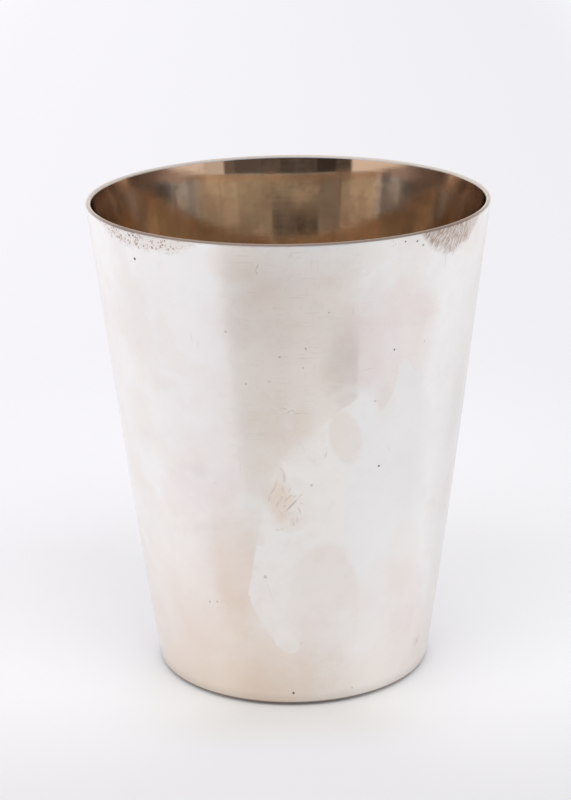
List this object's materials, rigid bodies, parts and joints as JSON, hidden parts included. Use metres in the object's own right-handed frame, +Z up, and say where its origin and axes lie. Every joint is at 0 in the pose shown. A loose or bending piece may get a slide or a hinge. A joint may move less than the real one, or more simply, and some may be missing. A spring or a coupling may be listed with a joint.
{
  "type": "kiddush cup",
  "caption": "Plain tapered silver beaker for blessing wine, with a soft rounded lip, a hollow inside and a flat ring to stand on.",
  "frame": {"origin": "on the cup's axis, in the plane of the ring that it stands on", "axes": "+Z up the cup's axis towards the lip; the cup is round, so +X and +Y are free"},
  "size_m": [0.064, 0.064, 0.078],
  "materials": {
    "silver": "hand-polished solid silver gone soft and warm with tarnish, scratched and spotted outside, brown and gilt inside"
  },
  "bodies": {
    "root": {"cup": "silver"}
  },
  "joints": []
}
